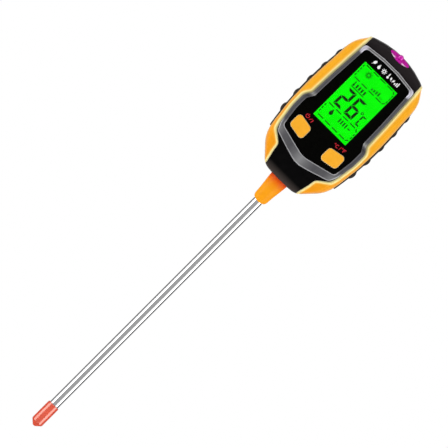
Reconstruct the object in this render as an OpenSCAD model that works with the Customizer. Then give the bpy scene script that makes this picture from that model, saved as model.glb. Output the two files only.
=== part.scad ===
// Handheld soil tester: a head with a display on top of a long probe.
// Frame: +Z up along the probe towards the head, the face looks to -Y, and the origin is on the
// probe's axis at the lower end of the neck collar. Millimetres.

/* [Head] */
// Depth from the parting plane to the front face
face_y = 16.4; // [16.2:0.1:17]
// Depth from the parting plane to the flat back
back_y = 18.5; // [18.3:0.1:19.5]
// Wall thickness of the two housings
wall = 2.2; // [1.8:0.1:2.2]
// Thickness of the orange side panels
panel_t = 2; // [1.6:0.1:2.2]

/* [Face] */
// How far the bezel stands out of the front face
bezel_rise = 1.2; // [0.8:0.1:1.5]
// Width of the clear display window
window_w = 28; // [26:0.5:28]
// Height of the clear display window
window_h = 45.7; // [44:0.1:46]
// Height of the display window's lower edge
window_z = 62.2; // [61.8:0.1:62.5]

/* [Buttons] */
// Width of a button cap
button_w = 12.1; // [11.6:0.1:12.4]
// Height of a button cap
button_h = 9.6; // [9:0.1:10.2]
// Slope of a button's top and bottom edges, which fall towards the middle
button_tilt = 10.5; // [8:0.5:12]
// How far a button travels
button_travel = 1; // [0.6:0.1:1]

/* [Grips] */
// Ribs on each grip
rib_count = 5; // [3:1:5]
// Distance between ribs
rib_pitch = 11.9; // [11:0.1:12.5]

/* [Probe] */
// Diameter of the bare probe tube
probe_d = 6.6; // [6:0.1:6.8]
// Length from the collar's lower end to the tip of the red cap
probe_len = 198.1; // [150:0.1:220]
// Length of the red cap
cap_len = 18; // [16:0.5:20]
// Diameter of the red cap
cap_d = 8.2; // [7.8:0.1:8.6]

/* [Battery] */
// Length of the battery
battery_len = 48.5; // [47:0.5:48.5]
// Gap between the battery door and its recess, each side
door_gap = 0.15; // [0.1:0.05:0.25]

/* [Hidden] */

$fn = 48;
eps = 0.01;
arc_step = 7;     // degrees between the points of a rounded corner
gap = 0.05;       // between pieces that touch in one body
far = 200;        // longer than anything it cuts

// Outlines of the face, right half from the top centre to the bottom centre: x, z, corner radius.
head_corners = [[0, 130, 56], [21.6, 122.5, 6], [29, 112.6, 20], [30.75, 77, 200],
  [30.25, 58, 60], [28.45, 43, 40], [26.8, 33.4, 20], [13.6, 19.35, 10], [0, 18.2, 60]];
bezel_corners = [[0, 119.5, 108], [21.35, 115.6, 2.4], [23, 88, 60], [23.6, 71.3, 3.5],
  [26.75, 66.3, 4], [26.75, 57, 20], [24.6, 43.8, 10], [22.4, 39.2, 3.5], [10, 35.2, 30],
  [0, 32.4, 16]];
face_corners = [[0, 117, 100], [19.2, 113.95, 2.6], [20.65, 88, 60], [21.1, 70.9, 2.5],
  [24, 66.1, 3], [23.9, 57, 20], [22.15, 44.3, 2.8], [10, 41.2, 30], [0, 38.8, 14]];
// The line where black plastic meets the orange panel, from above the top to below the nose.
panel_edge = [[20.9, 140, 0], [21.5, 114.9, 40], [23.05, 88, 60], [23.65, 71.3, 3.5],
  [26.8, 66.3, 4], [26.8, 57, 20], [24.7, 43.8, 10], [23.2, 39.6, 4], [16, 33.8, 4],
  [15.2, 28.5, 8], [13.4, 21, 0], [13.2, 5, 0]];

// Depth profile of the head's edge: straight side, then a quarter of an ellipse.
front_wall_y = 7.4;
front_round = 4;
rear_wall_y = 9;
rear_round = 8.5;
round_steps = 8;
nose_hole_r = 5.2;

seat_y = face_y - 1.2;         // bottom of the recess that holds bezel and face plate
front_inner_y = face_y - 2.8;  // inside of the front wall
cavity_inset = panel_t + wall + 0.4;

lcd_w = 32.4;
lcd_h = 48.8;
lcd_z = 60.6;
frame_t = 1.1;
ledge = 2;                     // how far the rear glass reaches below the front glass
glass_t = 1.1;
glass_y = face_y - 1.9;        // front of the front glass
guide_y = 12.3;
guide_t = 2.5;
pcb_y = 9.5;                   // front of the circuit board
pcb_t = 1.6;
pcb_w = 45.2;
pcb_z = [43, 108];
pcb_post = [20, 59.2, 104];    // x of the posts and their two heights
post_r = 2.2;

button_x = 14.05;
button_z = 51;
button_rise = 1.8;             // above the front face
button_corner = 2.4;
button_gap = 0.35;
button_rear_y = 11.6;
flange = 0.7;
pill_r = 2;

sensor_z = 123.6;
sensor_y = 14.2;
sensor_half_w = 7.6;
sensor_half_h = 2.7;
sensor_tilt = 45;

grip_y = [1.2, 10.6];
grip_z = [39, 109];
grip_depth = 1.5;
grip_bow = [31.8, 75.5, 212];  // arc between the ribs: outermost x, its z, radius
rib_r = 5;
rib_mid_z = 73;
rib_first_z = 53.4;
rib_peak_x = 32.55;
rib_bow_r = 260;

collar_top_z = 18.4;
collar_r = [4.9, 6.6];         // at the lower and the upper end
collar_round = [1.6, 2.6];     // of the lower end: across and up
flange_z = [21.1, 22.5];
tube_top_z = 34;
tube_neck_r = probe_d / 2 - 0.2;
tube_bore_r = probe_d / 2 - 0.8;
tip_r = probe_d / 2 - 0.3;
bare_end_z = -(probe_len - cap_len);
ring_h = 2.5;
plug_h = 5.3;
tip_end_z = -probe_len + 2.6;
cap_cone = 3.0;                // length of the cap's pointed end
tip_cone = 2.6;
clamp_z = [23, 32.5];
clamp_screw = [4.9, 28];

battery_w = 26.5;
battery_y = [-1.3, 16.2];
battery_z = 50;
stud_x = 6.35;
stud_h = 3;
pocket_w = 27.8;
pocket_z = [41.8, 99.4];
pocket_floor_y = -2.2;
pocket_wall = 1.5;
door_w = 33;
door_z = [41, 102];
door_seat_y = 16.5;
door_face_y = back_y - 0.1;
tongue = 1;
tongue_t = 0.7;
recess_low_z = 20;

screw_spots = [[20.6, 111.2], [-20.6, 111.2], [11.5, 30], [-11.5, 30]];
boss_r = 3;
screw_r = 1.4;
screw_head_r = 2.6;
screw_head_y = 10.4;
screw_head_h = 1.8;

// ---- Outline helpers -------------------------------------------------------------------------
function unit(v) = v / norm(v);
function xz(c) = [c.x, c.y];
function inward(a, b) = unit([b.y - a.y, a.x - b.x]);

// Points of the arc that rounds corner b, between a and c, with radius r.
function fillet(a, b, c, r) =
  let (u = unit(a - b), w = unit(c - b), half = acos(u * w) / 2)
  r <= 0 || half > 89.9 ? [b] :
  let (centre = b + unit(u + w) * r / sin(half),
    first = b + u * r / tan(half) - centre,
    turn = (180 - 2 * half) * (u.x * w.y - u.y * w.x > 0 ? -1 : 1),
    steps = max(2, ceil(abs(turn) / arc_step)))
  [for (i = [0:steps]) let (q = turn * i / steps)
    centre + [first.x * cos(q) - first.y * sin(q), first.x * sin(q) + first.y * cos(q)]];

// A closed outline from corners with radii.
function rounded(c) = let (n = len(c))
  [for (i = [0:n - 1]) each fillet(xz(c[(i + n - 1) % n]), xz(c[i]), xz(c[(i + 1) % n]), c[i][2])];

// The right half's corners and their mirror image, as one ring of corners.
function both_sides(right) = let (n = len(right))
  concat(right, [for (i = [n - 2:-1:1]) [-right[i].x, right[i].y, right[i][2]]]);

// Every edge of a convex ring of corners moved inwards by d.
function inset(c, d) = let (n = len(c))
  [for (i = [0:n - 1])
    let (a = xz(c[(i + n - 1) % n]), b = xz(c[i]), e = xz(c[(i + 1) % n]),
      p = inward(a, b), q = inward(b, e), m = b + (p + q) * d / (1 + p * q))
    [m.x, m.y, max(0.6, c[i][2] - d)]];

head_ring = both_sides(head_corners);
bezel_ring = both_sides(bezel_corners);
face_ring = both_sides(face_corners);

// ---- Shared shapes ---------------------------------------------------------------------------
// A flat shape in the x-z plane, given thickness from y0 to y1.
module slab(y0, y1) {
  translate([0, y1, 0]) rotate([90, 0, 0]) linear_extrude(y1 - y0) children();
}

module block(x, y, z) {
  translate([x[0], y[0], z[0]]) cube([x[1] - x[0], y[1] - y[0], z[1] - z[0]]);
}

// A cylinder along y from y0 to y1.
module pin_y(x, z, r, y0, y1) {
  translate([x, y1, z]) rotate([90, 0, 0]) cylinder(r = r, h = y1 - y0);
}

module head_plate(d) {
  polygon(rounded(inset(head_ring, d)));
}

// Side view of the nose, which gets thinner towards the collar.
module nose_cut(front, back) {
  rotate([90, 0, 90]) linear_extrude(far, center = true)
    polygon(rounded([[-front, 150, 0], [back, 150, 0], [back, 37, 24], [back - 9, 15, 0],
      [8 - front, 15, 0], [-front, 38, 26]]));
}

// The head's outer form, t inside its surface: dir -1 is the front half, 1 the rear half.
module half_form(dir, t, wall_y, deep_y, round_w) {
  intersection() {
    hull() for (i = [0:round_steps]) {
      q = 90 * i / round_steps;
      y = dir * (wall_y + (deep_y - t - wall_y) * sin(q));
      slab(min(0, y), max(0, y)) head_plate(t + round_w * (1 - cos(q)));
    }
    nose_cut(face_y + 0.8 - t, back_y + 0.8 - t);
  }
}

module front_form(t) {
  half_form(-1, t, front_wall_y, face_y, front_round);
}

module rear_form(t) {
  half_form(1, t, rear_wall_y, back_y, rear_round);
}

// The region of the face that the orange panel covers on one side.
module panel_region(side) {
  edge = [for (i = [0:len(panel_edge) - 1]) i == 0 || i == len(panel_edge) - 1
    ? [xz(panel_edge[i])]
    : fillet(xz(panel_edge[i - 1]), xz(panel_edge[i]), xz(panel_edge[i + 1]), panel_edge[i][2])];
  points = concat([for (arc = edge) each arc], [[60, 5], [60, 140]]);
  mirror([side < 0 ? 1 : 0, 0]) polygon(points);
}

module button_outline(side, grow) {
  w = button_w / 2 - button_corner;
  h = button_h / 2 - button_corner;
  drop = w * tan(button_tilt);
  translate([side * button_x, button_z]) mirror([side > 0 ? 1 : 0, 0])
    offset(button_corner + grow)
      polygon([[-w, h + drop], [w, h - drop], [w, -h - drop], [-w, -h + drop]]);
}

// Placed on the tilted seat of the light sensor: +Z points out of the top front edge.
module at_sensor() {
  translate([0, -sensor_y, sensor_z]) rotate([sensor_tilt, 0, 0]) children();
}

// Oval of the lens.
module eye_outline(grow) {
  polygon([for (q = [0:6:354]) [(sensor_half_w + grow) * cos(q), (sensor_half_h + grow) * sin(q)]]);
}

function rib_z(i) = rib_first_z + i * rib_pitch;
function bow(z) = (z - rib_mid_z) * (z - rib_mid_z) / (2 * rib_bow_r);

// Outline of one grip seen from the front: a strip that bows out, with ribs.
module grip_outline(side) {
  mirror([side < 0 ? 1 : 0, 0]) difference() {
    intersection() {
      union() {
        translate([grip_bow[0] - grip_bow[2], grip_bow[1]]) circle(grip_bow[2], $fn = 720);
        for (i = [0:rib_count - 1])
          translate([rib_peak_x - bow(rib_z(i)) - rib_r, rib_z(i)]) circle(rib_r);
      }
      translate([20, grip_z[0]]) square([20, grip_z[1] - grip_z[0]]);
    }
    head_plate(grip_depth);
  }
}

module screw(x, z, head_y, tip_y, r, head_r, head_h) {
  dir = head_y > tip_y ? 1 : -1;
  difference() {
    union() {
      pin_y(x, z, r, min(head_y, tip_y), max(head_y, tip_y));
      pin_y(x, z, head_r, min(head_y, head_y + dir * head_h), max(head_y, head_y + dir * head_h));
    }
    for (turn = [0, 90])
      translate([x, head_y + dir * head_h, z]) rotate([0, turn, 0])
        cube([head_r * 1.3, head_h, 0.6], center = true);
  }
}

module rod_between(a, b, d) {
  v = b - a;
  translate(a) rotate([0, acos(v.z / norm(v)), atan2(v.y, v.x)]) cylinder(h = norm(v), d = d);
}

// A short wire through the given points, each straight run a little longer than its bends.
module wire(route, d) {
  last = len(route) - 2;
  for (i = [0:last]) {
    along = unit(route[i + 1] - route[i]) * d / 4;
    rod_between(route[i] - (i > 0 ? along : 0 * along),
      route[i + 1] + (i < last ? along : 0 * along), d);
  }
}

// ---- Housings --------------------------------------------------------------------------------
module front_housing() color("#242122") difference() {
  union() {
    difference() {
      union() {
        difference() {
          front_form(0);
          for (side = [-1, 1]) slab(-far, far) panel_region(side);
        }
        front_form(panel_t + gap);
      }
      intersection() {
        slab(-front_inner_y, eps) head_plate(cavity_inset);
        nose_cut(face_y - wall, back_y);
      }
      block([-9.5, 9.5], [-9, eps], [20.4, 30]);
    }
    intersection() {
      union() {
        for (s = screw_spots) pin_y(s.x, s.y, boss_r, -front_inner_y - eps, 0);
        for (side = [-1, 1], i = [1, 2])
          pin_y(side * pcb_post[0], pcb_post[i], post_r, -front_inner_y - eps, -pcb_y);
        for (side = [-1, 1])
          pin_y(side * clamp_screw[0], clamp_screw[1], 2, -front_inner_y - eps, -6.1);
      }
      nose_cut(face_y - 0.5, back_y);
    }
  }
  slab(-far, -seat_y) polygon(rounded(bezel_ring));
  block([-17.6, 17.6], [-far, -12], [57.3, 110.9]);
  for (side = [-1, 1]) slab(-far, -12) button_outline(side, button_gap);
  at_sensor() translate([0, 0, -2.2]) linear_extrude(10) eye_outline(0.15);
  at_sensor() translate([0, 0, -9]) cylinder(r = 2.7, h = 10);
  translate([0, 0, 10]) cylinder(r = nose_hole_r, h = 11);
  for (s = screw_spots) pin_y(s.x, s.y, screw_r - 0.1, -9, 1);
  for (side = [-1, 1], i = [1, 2])
    pin_y(side * pcb_post[0], pcb_post[i], 0.9, -12.6, -9);
  for (side = [-1, 1]) pin_y(side * clamp_screw[0], clamp_screw[1], 0.9, -11, -6);
}

module rear_housing() color("#242122") difference() {
  union() {
    difference() {
      rear_form(0);
      intersection() {
        union() {
          slab(-eps, 8.5) head_plate(wall);
          slab(-eps, 14) head_plate(rear_round);
        }
        nose_cut(face_y, back_y - wall);
      }
    }
    intersection() {
      for (s = screw_spots) pin_y(s.x, s.y, boss_r + 1.2, 0, far);
      rear_form(0.5);
    }
    block([-pocket_w / 2 - pocket_wall, pocket_w / 2 + pocket_wall],
      [pocket_floor_y - pocket_wall, door_seat_y],
      [pocket_z[0] - pocket_wall, pocket_z[1] + pocket_wall]);
  }
  block([-pocket_w / 2, pocket_w / 2], [pocket_floor_y, far], pocket_z);
  block([-door_w / 2 - door_gap, door_w / 2 + door_gap], [door_seat_y, far],
    [recess_low_z, door_z[1] + door_gap]);
  block([-door_w / 2 - tongue - door_gap, door_w / 2 + tongue + door_gap],
    [door_seat_y, door_seat_y + tongue_t + 2 * door_gap], [recess_low_z, door_z[1] + door_gap]);
  for (side = [-1, 1]) slab(grip_y[0], grip_y[1]) offset(0.1) grip_outline(side);
  translate([0, 0, 10]) cylinder(r = nose_hole_r, h = 11);
  for (s = screw_spots) {
    pin_y(s.x, s.y, screw_r + 0.2, -eps, far);
    pin_y(s.x, s.y, screw_head_r + 0.2, screw_head_y, far);
  }
  for (side = [-1, 1]) pin_y(side * 4, 44.5, 1.2, pocket_floor_y - 3, 0);
}

module side_panel(side) color("#fcb032") intersection() {
  difference() {
    front_form(0);
    front_form(panel_t);
    slab(-far, -seat_y) polygon(rounded(inset(bezel_ring, -gap)));
  }
  slab(-far, -gap) panel_region(side);
  translate([side * (gap + far / 2), 0, far / 2]) cube(far, center = true);
}

module left_side_panel() side_panel(-1);
module right_side_panel() side_panel(1);

module grip(side) color("#4a4843") slab(grip_y[0] + 0.1, grip_y[1] - 0.1) grip_outline(side);

module left_grip() grip(-1);
module right_grip() grip(1);

// ---- Face ------------------------------------------------------------------------------------
module bezel() color("#77787c") difference() {
  slab(-face_y - bezel_rise, -seat_y - gap) polygon(rounded(inset(bezel_ring, gap)));
  slab(-far, far) polygon(rounded(face_ring));
}

module faceplate() color("#0a0a0a") difference() {
  slab(-face_y - 0.5, -seat_y - gap) polygon(rounded(inset(face_ring, gap)));
  block([-window_w / 2, window_w / 2], [-far, far], [window_z, window_z + window_h]);
  for (side = [-1, 1]) slab(-far, far) button_outline(side, button_gap);
}

module display_window() color("#cfe8d0", 0.35)
  block([-window_w / 2 + gap, window_w / 2 - gap], [-face_y - 0.5, -seat_y - gap],
    [window_z + gap, window_z + window_h - gap]);

module button(side) color("#fcb42d") {
  slab(-face_y - button_rise, -button_rear_y) button_outline(side, 0);
  slab(-front_inner_y + 0.2, -12.6) button_outline(side, flange);
}

module contact(side) color("#202020")
  pin_y(side * button_x, button_z, pill_r, -button_rear_y, -pcb_y - button_travel - 0.1);

module power_button() button(-1);
module power_contact() contact(-1);
module unit_button() button(1);
module unit_contact() contact(1);

module keypad_mat() color("#8d8f90") difference() {
  block([-21, 21], [-pcb_y - 1, -pcb_y - gap], [43.8, 56]);
  for (side = [-1, 1]) pin_y(side * button_x, button_z, pill_r + 0.6, -far, far);
}

// ---- Display ---------------------------------------------------------------------------------
module lcd_front_glass() color("#39e03a")
  block([-lcd_w / 2, lcd_w / 2], [-glass_y, -glass_y + glass_t], [lcd_z, lcd_z + lcd_h]);

module lcd_rear_glass() color("#2fc431")
  block([-lcd_w / 2, lcd_w / 2], [-glass_y + glass_t + 0.02, -glass_y + 2 * glass_t],
    [lcd_z - ledge, lcd_z + lcd_h]);

module lcd_frame() color("#e9ebe8") {
  x = lcd_w / 2 + 0.1;
  z = [lcd_z - ledge - 0.1, lcd_z + lcd_h + 0.1];
  difference() {
    block([-x - frame_t, x + frame_t], [-glass_y, -pcb_y - gap], [z[0] - frame_t, z[1] + frame_t]);
    block([-x, x], [-far, far], z);
  }
}

module backlight_guide() color("#c9f7c4")
  block([-lcd_w / 2, lcd_w / 2], [-guide_y, -guide_y + guide_t], [lcd_z, lcd_z + lcd_h - 1.9]);

module backlight_leds() color("#f4f4d0")
  for (x = [-8, 8])
    block([x - 1.5, x + 1.5], [-guide_y + 0.5, -guide_y + 2], [lcd_z + lcd_h - 1.8, lcd_z + lcd_h]);

module contact_strip() color("#5b5b66")
  block([-14, 14], [-glass_y + 2 * glass_t + gap, -pcb_y - gap], [lcd_z - ledge + 0.1, lcd_z - 0.2]);

// ---- Electronics -----------------------------------------------------------------------------
module main_pcb() color("#1f6b3a") difference() {
  block([-pcb_w / 2, pcb_w / 2], [-pcb_y, -pcb_y + pcb_t], pcb_z);
  for (side = [-1, 1], i = [1, 2]) pin_y(side * pcb_post[0], pcb_post[i], 1.2, -far, far);
}

module controller_chip() color("#161616")
  block([-2, 10], [-pcb_y + pcb_t + gap, -pcb_y + pcb_t + 1.6], [78, 90]);

module amplifier_chip() color("#161616")
  block([-13, -9], [-pcb_y + pcb_t + gap, -pcb_y + pcb_t + 1.5], [66, 71]);

module timing_crystal() color("#c4c7ca")
  translate([-10, -pcb_y + pcb_t + 1.6, 80]) cylinder(r = 1.5, h = 6.5);

module pcb_capacitors() color("#2c3550")
  for (z = [95, 101]) pin_y(-14, z, 2.4, -pcb_y + pcb_t + gap, -4.5);

module pcb_screws() color("#b9bcc0")
  for (side = [-1, 1], i = [1, 2])
    screw(side * pcb_post[0], pcb_post[i], -pcb_y + pcb_t + gap, -12.2, 0.85, 1.9, 1.3);

module light_sensor_lens() color("#c412a3") at_sensor() {
  translate([0, 0, -2]) linear_extrude(3) eye_outline(0);
  translate([0, 0.9, 1.1]) sphere(r = 2);
}

module light_sensor() color("#e8e3d8") {
  at_sensor() translate([0, 0, -6.5]) cylinder(r = 2.4, h = 4);
  for (side = [-1.2, 1.2])
    wire([[side, -9.2, 119], [side, -8.7, 116], [side, -8.7, pcb_z[1] + gap]], 0.6);
}

// ---- Probe -----------------------------------------------------------------------------------
module neck_collar() color("#fea21e") rotate_extrude() {
  polygon(concat(
    [[tube_neck_r + gap, 0]],
    [for (q = [0:15:90]) [collar_r[0] - collar_round[0] * (1 - sin(q)),
      collar_round[1] * (1 - cos(q))]],
    [[5.25, 6.2], [5.95, 12.6], [collar_r[1], collar_top_z], [nose_hole_r - 0.1, collar_top_z],
      [nose_hole_r - 0.1, flange_z[0]], [7, flange_z[0]], [7, flange_z[1]],
      [tube_neck_r + gap, flange_z[1]]]));
}

module neck_seal() color("#1a1a1a") rotate_extrude()
  translate([tube_neck_r + gap + 1, flange_z[1] + 0.3]) square([1.6, 0.4 - 2 * gap], center = true);

module probe_clamp() color("#3c3c3c") difference() {
  block([-7.1, 7.1], [-6, 6], clamp_z);
  cylinder(r = tube_neck_r + gap, h = far, center = true);
  for (side = [-1, 1]) pin_y(side * clamp_screw[0], clamp_screw[1], 1.2, -far, far);
}

module clamp_screws() color("#b9bcc0")
  for (side = [-1, 1])
    screw(side * clamp_screw[0], clamp_screw[1], 6 + gap, -10.6, 0.85, 1.9, 1.3);

module probe_tube() color("#d9dcdf") difference() {
  union() {
    translate([0, 0, bare_end_z]) cylinder(d = probe_d, h = -bare_end_z);
    translate([0, 0, -eps]) cylinder(r = tube_neck_r, h = tube_top_z + eps);
  }
  translate([0, 0, bare_end_z - 1]) cylinder(r = tube_bore_r, h = far + tube_top_z + 20);
}

module insulator_ring() color("#1c1c1c") {
  translate([0, 0, bare_end_z - ring_h]) cylinder(r = tip_r, h = ring_h - gap);
  translate([0, 0, bare_end_z - 1]) cylinder(r = tube_bore_r - gap, h = plug_h);
}

module sensing_tip() color("#a9adb2") {
  top = bare_end_z - ring_h - gap;
  difference() {
    union() {
      translate([0, 0, tip_end_z + tip_cone]) cylinder(r = tip_r, h = top - tip_end_z - tip_cone);
      translate([0, 0, tip_end_z]) cylinder(r1 = 0.6, r2 = tip_r, h = tip_cone + eps);
    }
    translate([0, 0, top - 7]) cylinder(r = 1.1, h = 8);
  }
}

module temperature_sensor() color("#30271f")
  translate([0, 0, bare_end_z - ring_h - 6.5]) cylinder(r = 1, h = 5);

module probe_lead() color("#d8d8d8")
  wire([[0, 0, bare_end_z + plug_h], [0, 0, tube_top_z + 0.5], [0, -2.5, 36.5], [0, -6, 40.5],
    [0, -6.9, 46]], 1.6);

// ---- Battery ---------------------------------------------------------------------------------
module battery() color("#2d2f34")
  block([-battery_w / 2, battery_w / 2], battery_y, [battery_z, battery_z + battery_len]);

module battery_terminals() color("#c9b06a")
  for (side = [-1, 1]) translate([side * stud_x, 7.5, battery_z - stud_h])
    cylinder(r = side > 0 ? 2.9 : 3.6, h = stud_h - gap);

module snap_connector() color("#17181a")
  block([-13, 13], [2, 13], [43, battery_z - stud_h - gap]);

module battery_lead(side) {
  wire([[side * 4, 1.3, 44.5], [side * 4, -4.4, 44.5], [side * 4, -7.2, 47.5]], 1.2);
}

module battery_lead_red() color("#c3201d") battery_lead(-1);
module battery_lead_black() color("#141414") battery_lead(1);

module battery_pad() color("#3b3b3f")
  block([-11, 11], [pocket_floor_y + gap, battery_y[0] - gap], [56, 92]);

module battery_door() color("#2b2829") {
  block([-door_w / 2, door_w / 2], [door_seat_y + 0.1, door_face_y], door_z);
  block([-door_w / 2 - tongue, door_w / 2 + tongue],
    [door_seat_y + 0.1, door_seat_y + 0.1 + tongue_t], door_z);
}

// ---- Fasteners and cap -----------------------------------------------------------------------
module housing_screws() color("#9a9da1")
  for (s = screw_spots)
    screw(s.x, s.y, screw_head_y + gap, -7, screw_r - 0.15, screw_head_r, screw_head_h);

module tip_cap() color("#d9402f") {
  r = cap_d / 2;
  top = [r, bare_end_z - gap];
  shoulder = [r, cap_cone - probe_len];
  point = [0.8, -probe_len];
  difference() {
    rotate_extrude() polygon(concat([[0, top.y], top], fillet(top, shoulder, point, 1.5),
      fillet(shoulder, point, [-1, -probe_len], 1.2), [[0, -probe_len]]));
    translate([0, 0, tip_end_z + tip_cone - 0.6]) cylinder(r = tip_r + 0.25, h = far);
    translate([0, 0, tip_end_z - 0.5]) cylinder(r1 = 1.2, r2 = tip_r + 0.25, h = tip_cone);
  }
}

front_housing();
rear_housing();
left_side_panel();
right_side_panel();
left_grip();
right_grip();
bezel();
faceplate();
display_window();
power_button();
power_contact();
unit_button();
unit_contact();
keypad_mat();
lcd_front_glass();
lcd_rear_glass();
lcd_frame();
backlight_guide();
backlight_leds();
contact_strip();
main_pcb();
controller_chip();
amplifier_chip();
timing_crystal();
pcb_capacitors();
pcb_screws();
light_sensor_lens();
light_sensor();
neck_collar();
neck_seal();
probe_clamp();
clamp_screws();
probe_tube();
insulator_ring();
sensing_tip();
temperature_sensor();
probe_lead();
battery();
battery_terminals();
snap_connector();
battery_lead_red();
battery_lead_black();
battery_pad();
battery_door();
housing_screws();
tip_cap();
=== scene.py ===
import math

import bmesh
import bpy
import numpy as np
from mathutils import Matrix, Vector
from mathutils.bvhtree import BVHTree


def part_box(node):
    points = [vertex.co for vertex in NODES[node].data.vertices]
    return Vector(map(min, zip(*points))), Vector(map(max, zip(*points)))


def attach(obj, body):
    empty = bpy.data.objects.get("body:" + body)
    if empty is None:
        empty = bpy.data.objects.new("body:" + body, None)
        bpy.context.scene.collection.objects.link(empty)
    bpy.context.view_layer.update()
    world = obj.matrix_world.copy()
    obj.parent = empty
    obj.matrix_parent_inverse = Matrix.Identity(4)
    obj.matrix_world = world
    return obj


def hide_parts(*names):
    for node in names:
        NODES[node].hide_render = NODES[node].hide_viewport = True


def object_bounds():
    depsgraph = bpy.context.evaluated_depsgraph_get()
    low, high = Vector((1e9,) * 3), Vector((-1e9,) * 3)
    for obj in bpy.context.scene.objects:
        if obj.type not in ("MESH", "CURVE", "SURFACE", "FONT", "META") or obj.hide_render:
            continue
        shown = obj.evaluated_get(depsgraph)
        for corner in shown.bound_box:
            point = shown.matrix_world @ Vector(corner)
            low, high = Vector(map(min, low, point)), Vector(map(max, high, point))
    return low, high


# Looks of the soil tester. Lengths in the shape code are millimetres until a mesh is made.
MM = 0.001
ROOT = "head_and_probe"

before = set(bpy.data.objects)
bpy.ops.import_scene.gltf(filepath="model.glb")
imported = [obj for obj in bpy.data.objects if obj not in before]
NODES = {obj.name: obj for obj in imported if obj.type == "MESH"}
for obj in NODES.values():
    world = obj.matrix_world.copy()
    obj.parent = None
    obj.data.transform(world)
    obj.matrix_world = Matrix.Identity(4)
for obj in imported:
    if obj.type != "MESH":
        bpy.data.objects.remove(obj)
CAD_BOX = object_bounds()


def box_mm(node):
    """The lowest and highest corner of a CAD node, in millimetres."""
    low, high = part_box(node)
    return low / MM, high / MM


def centre_mm(node):
    """The middle of a CAD node's box, in millimetres."""
    low, high = box_mm(node)
    return (low + high) / 2


# ---- Node materials ----
def grey(level):
    return (level, level, level)


def set_stops(ramp, stops):
    """Fills a new colour ramp from (position, colour) stops in rising order."""
    for element, (position, colour) in zip(ramp.elements, (stops[0], stops[-1])):
        element.position = position
        element.color = (*colour, 1.0)
    for position, colour in stops[1:-1]:
        ramp.elements.new(position).color = (*colour, 1.0)


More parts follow.
